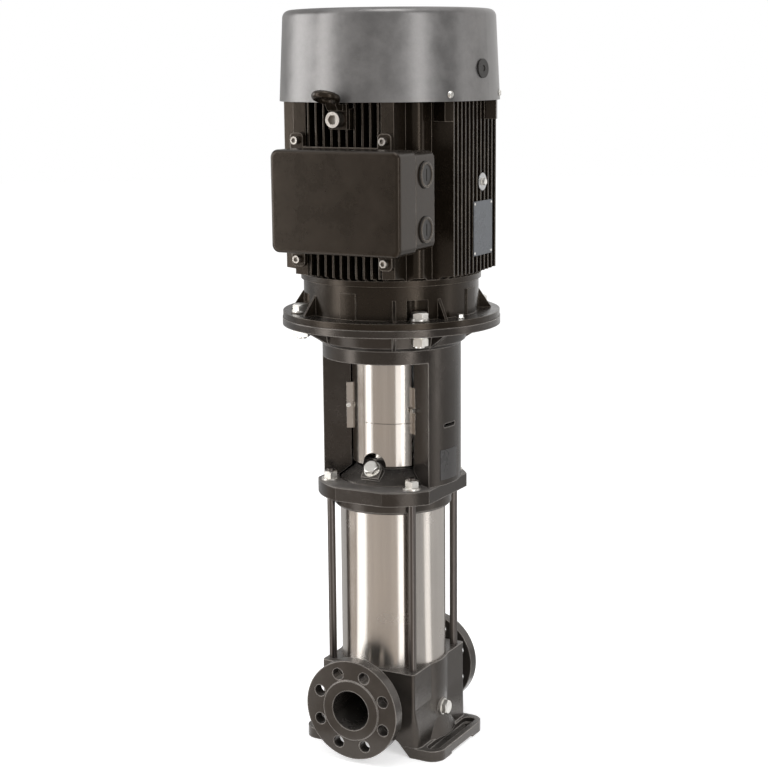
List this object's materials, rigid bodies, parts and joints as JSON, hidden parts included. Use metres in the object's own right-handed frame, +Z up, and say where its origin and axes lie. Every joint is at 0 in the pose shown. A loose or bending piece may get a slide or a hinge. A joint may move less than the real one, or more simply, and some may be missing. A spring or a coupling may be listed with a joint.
{
  "type": "vertical multistage pump",
  "caption": "Upright multistage centrifugal pump with in-line flanged ports, steel sleeve on stay bolts, lantern stool and a finned motor on top.",
  "frame": {"origin": "on the floor, below the pump shaft, at the middle of the four floor bolts", "axes": "+Z up along the shaft, +Y towards the discharge port, +X towards the terminal box's cable entries"},
  "size_m": [0.3519, 0.4622, 1.198],
  "materials": {
    "pump_paint": "cast iron under satin black-grey paint",
    "motor_paint": "satin dark grey paint over cast metal",
    "cover_paint": "smooth satin dark grey paint on pressed sheet",
    "stainless": "brushed stainless sheet",
    "shaft_steel": "ground steel",
    "zinc_steel": "zinc plated steel",
    "bearing_steel": "polished bearing steel",
    "aluminium": "as cast aluminium",
    "lamination": "stacked steel sheets",
    "copper": "varnished copper wire",
    "brass": "plain brass",
    "carbon": "carbon and ceramic seal faces",
    "rubber": "black rubber",
    "black_plastic": "black moulded plastic",
    "terminal_plastic": "brown moulded plastic"
  },
  "bodies": {
    "root": {"base_drain_plug": "zinc_steel", "bearing_bushes": "carbon", "cable_entry_blanks": "black_plastic", "coupling_guard_front": "stainless", "coupling_guard_rear": "stainless", "discharge_spacer": "stainless", "earth_screws": "brass", "fan_cover": "cover_paint", "fan_cover_plug": "black_plastic", "fan_cover_screws": "zinc_steel", "guard_screws": "zinc_steel", "intermediate_chambers": "stainless", "lifting_eye_screws": "zinc_steel", "lifting_eyes": "motor_paint", "lower_bearing_outer_ring": "bearing_steel", "motor_flange_bolts": "zinc_steel", "motor_flange_nuts": "zinc_steel", "motor_flange_shield": "motor_paint", "motor_flange_washers": "zinc_steel", "motor_frame": "motor_paint", "motor_stool": "pump_paint", "name_plate": "aluminium", "neck_rings": "black_plastic", "outer_sleeve": "stainless", "priming_plug": "zinc_steel", "pump_base": "pump_paint", "pump_head": "pump_paint", "seal_gland": "stainless", "seal_gland_screws": "zinc_steel", "seal_stationary_ring": "carbon", "sleeve_o_rings": "rubber", "stator_core": "lamination", "stator_windings": "copper", "stay_bolt_nuts": "zinc_steel", "stay_bolt_washers": "zinc_steel", "stay_bolts": "shaft_steel", "suction_inlet_piece": "stainless", "terminal_block": "terminal_plastic", "terminal_box": "motor_paint", "terminal_box_cover": "motor_paint", "terminal_box_screws": "zinc_steel", "terminal_studs": "brass", "upper_bearing_outer_ring": "bearing_steel", "upper_end_shield": "motor_paint"},
    "rotor": {"motor_shaft": "shaft_steel", "rotor_core": "lamination", "rotor_end_rings": "aluminium", "cooling_fan": "black_plastic", "lower_bearing_inner_ring": "bearing_steel", "upper_bearing_inner_ring": "bearing_steel", "coupling_half_front": "aluminium", "coupling_half_rear": "aluminium", "coupling_screws": "zinc_steel", "coupling_pin": "shaft_steel", "pump_shaft": "shaft_steel", "impellers": "stainless", "seal_rotating_ring": "carbon", "seal_driver": "stainless"},
    "lower_balls": {"lower_bearing_balls": "bearing_steel"},
    "upper_balls": {"upper_bearing_balls": "bearing_steel"}
  },
  "joints": [
    {"name": "rotor_spin", "type": "hinge", "parent": "root", "child": "rotor", "pos_m": [0, 0, 0.745], "axis": [0, 0, 1], "continuous": true},
    {"name": "lower_balls_spin", "type": "hinge", "parent": "root", "child": "lower_balls", "pos_m": [0, 0, 0.744], "axis": [0, 0, 1], "continuous": true},
    {"name": "upper_balls_spin", "type": "hinge", "parent": "root", "child": "upper_balls", "pos_m": [0, 0, 1.0505], "axis": [0, 0, 1], "continuous": true}
  ],
  "couplings": [
    {"joint": "lower_balls_spin", "follows": "rotor_spin", "ratio": 0.38},
    {"joint": "upper_balls_spin", "follows": "rotor_spin", "ratio": 0.38}
  ]
}
